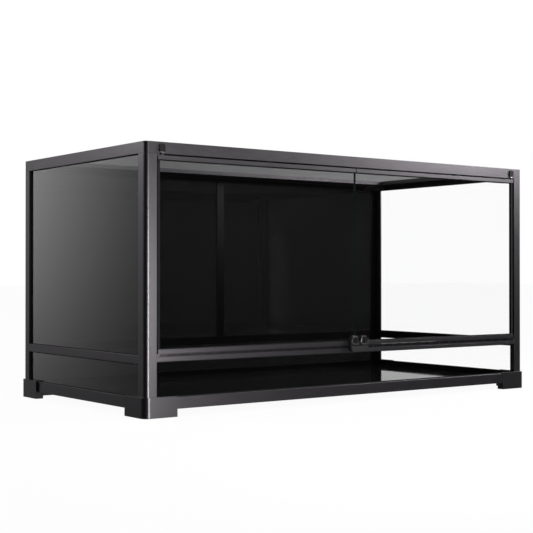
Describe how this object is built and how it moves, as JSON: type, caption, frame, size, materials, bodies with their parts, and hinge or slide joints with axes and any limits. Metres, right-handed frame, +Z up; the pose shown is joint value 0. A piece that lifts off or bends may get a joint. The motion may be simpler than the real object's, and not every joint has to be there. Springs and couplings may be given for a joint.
{
  "type": "reptile terrarium",
  "caption": "Wide front-opening glass terrarium in a dark aluminium frame, with hinged double doors, a slotted vent rail, corner feet and a lift-off screen lid.",
  "frame": {"origin": "on the ground, at the centre of the frame's footprint", "axes": "+Z up, +X to the right as seen from the front, +Y to the back; the doors face -Y"},
  "size_m": [1.23, 0.636, 0.61],
  "materials": {
    "frame_profile": "dark grey anodised, satin",
    "frame_corner": "dark grey moulded, fine satin",
    "black_panel": "black, mirror gloss",
    "clear_glass": "clear float glass, faint grey-green edge",
    "black_plastic": "black, satin",
    "black_seal": "black, matt",
    "bright_steel": "plain steel",
    "bright_ring": "polished",
    "screen_wire": "fine wire mesh, dull grey"
  },
  "bodies": {
    "cabinet": {"post_front_left": "frame_profile", "post_front_right": "frame_profile", "post_rear_left": "frame_profile", "post_rear_right": "frame_profile", "top_corner_front_left": "frame_corner", "top_corner_front_right": "frame_corner", "top_corner_rear_left": "frame_corner", "top_corner_rear_right": "frame_corner", "top_rail_front": "frame_profile", "top_rail_rear": "frame_profile", "top_rail_left": "frame_profile", "top_rail_right": "frame_profile", "bottom_rail_front": "frame_profile", "bottom_rail_rear": "frame_profile", "bottom_rail_left": "frame_profile", "bottom_rail_right": "frame_profile", "mid_rail_left": "frame_profile", "mid_rail_right": "frame_profile", "mid_rail_rear": "frame_profile", "rear_mullion": "frame_profile", "foot_front_left": "frame_corner", "foot_front_right": "frame_corner", "foot_rear_left": "frame_corner", "foot_rear_right": "frame_corner", "foot_screws": "bright_steel", "floor_panel": "black_panel", "side_pane_left_upper": "clear_glass", "side_pane_left_lower": "clear_glass", "side_pane_right_upper": "clear_glass", "side_pane_right_lower": "clear_glass", "back_panel_upper_left": "black_panel", "back_panel_upper_right": "black_panel", "back_panel_lower": "black_panel", "front_pane_lower": "clear_glass", "vent_rail": "frame_profile", "vent_grille": "frame_profile", "lower_pivots": "black_plastic", "door_stop_top": "black_seal", "latch_keeper": "black_plastic"},
    "door_left": {"door_glass_left": "clear_glass", "door_top_strip_left": "frame_profile", "door_bottom_strip_left": "frame_profile", "door_edge_seal_left": "black_seal", "latch_housing_left": "black_plastic", "latch_bezel_left": "bright_ring"},
    "door_right": {"door_glass_right": "clear_glass", "door_top_strip_right": "frame_profile", "door_bottom_strip_right": "frame_profile", "door_edge_seal_right": "black_seal", "latch_housing_right": "black_plastic", "latch_bezel_right": "bright_ring"},
    "knob_left": {"latch_knob_left": "black_plastic"},
    "knob_right": {"latch_knob_right": "black_plastic"},
    "bolt_left": {"latch_bolt_left": "bright_steel"},
    "bolt_right": {"latch_bolt_right": "bright_steel"},
    "slide_left": {"hinge_slide_left": "black_plastic"},
    "slide_right": {"hinge_slide_right": "black_plastic"},
    "lid": {"lid_frame": "frame_profile", "lid_screen": "screen_wire"}
  },
  "joints": [
    {"name": "door_left_hinge", "type": "hinge", "parent": "cabinet", "child": "door_left", "pos_m": [-0.567, -0.29965, 0.1414], "axis": [0, 0, 1], "range_deg": [-110, 0]},
    {"name": "door_right_hinge", "type": "hinge", "parent": "cabinet", "child": "door_right", "pos_m": [0.567, -0.29965, 0.1414], "axis": [0, 0, 1], "range_deg": [0, 110]},
    {"name": "knob_left_turn", "type": "hinge", "parent": "door_left", "child": "knob_left", "pos_m": [-0.0145, -0.319, 0.1539], "axis": [0, 1, 0], "range_deg": [0, 90]},
    {"name": "knob_right_turn", "type": "hinge", "parent": "door_right", "child": "knob_right", "pos_m": [0.0145, -0.319, 0.1539], "axis": [0, -1, 0], "range_deg": [0, 90]},
    {"name": "bolt_left_drop", "type": "slide", "parent": "door_left", "child": "bolt_left", "axis": [0, 0, -1], "range_m": [0, 0.006]},
    {"name": "bolt_right_drop", "type": "slide", "parent": "door_right", "child": "bolt_right", "axis": [0, 0, -1], "range_m": [0, 0.006]},
    {"name": "slide_left_lift", "type": "slide", "parent": "cabinet", "child": "slide_left", "axis": [0, 0, 1], "range_m": [0, 0.005]},
    {"name": "slide_right_lift", "type": "slide", "parent": "cabinet", "child": "slide_right", "axis": [0, 0, 1], "range_m": [0, 0.005]},
    {"name": "lid_lift", "type": "slide", "parent": "cabinet", "child": "lid", "axis": [0, 0, 1], "range_m": [0, 0.06]}
  ],
  "couplings": [
    {"joint": "knob_left_turn", "follows": "bolt_left_drop", "rad_per_m": 261.8},
    {"joint": "knob_right_turn", "follows": "bolt_right_drop", "rad_per_m": 261.8}
  ]
}
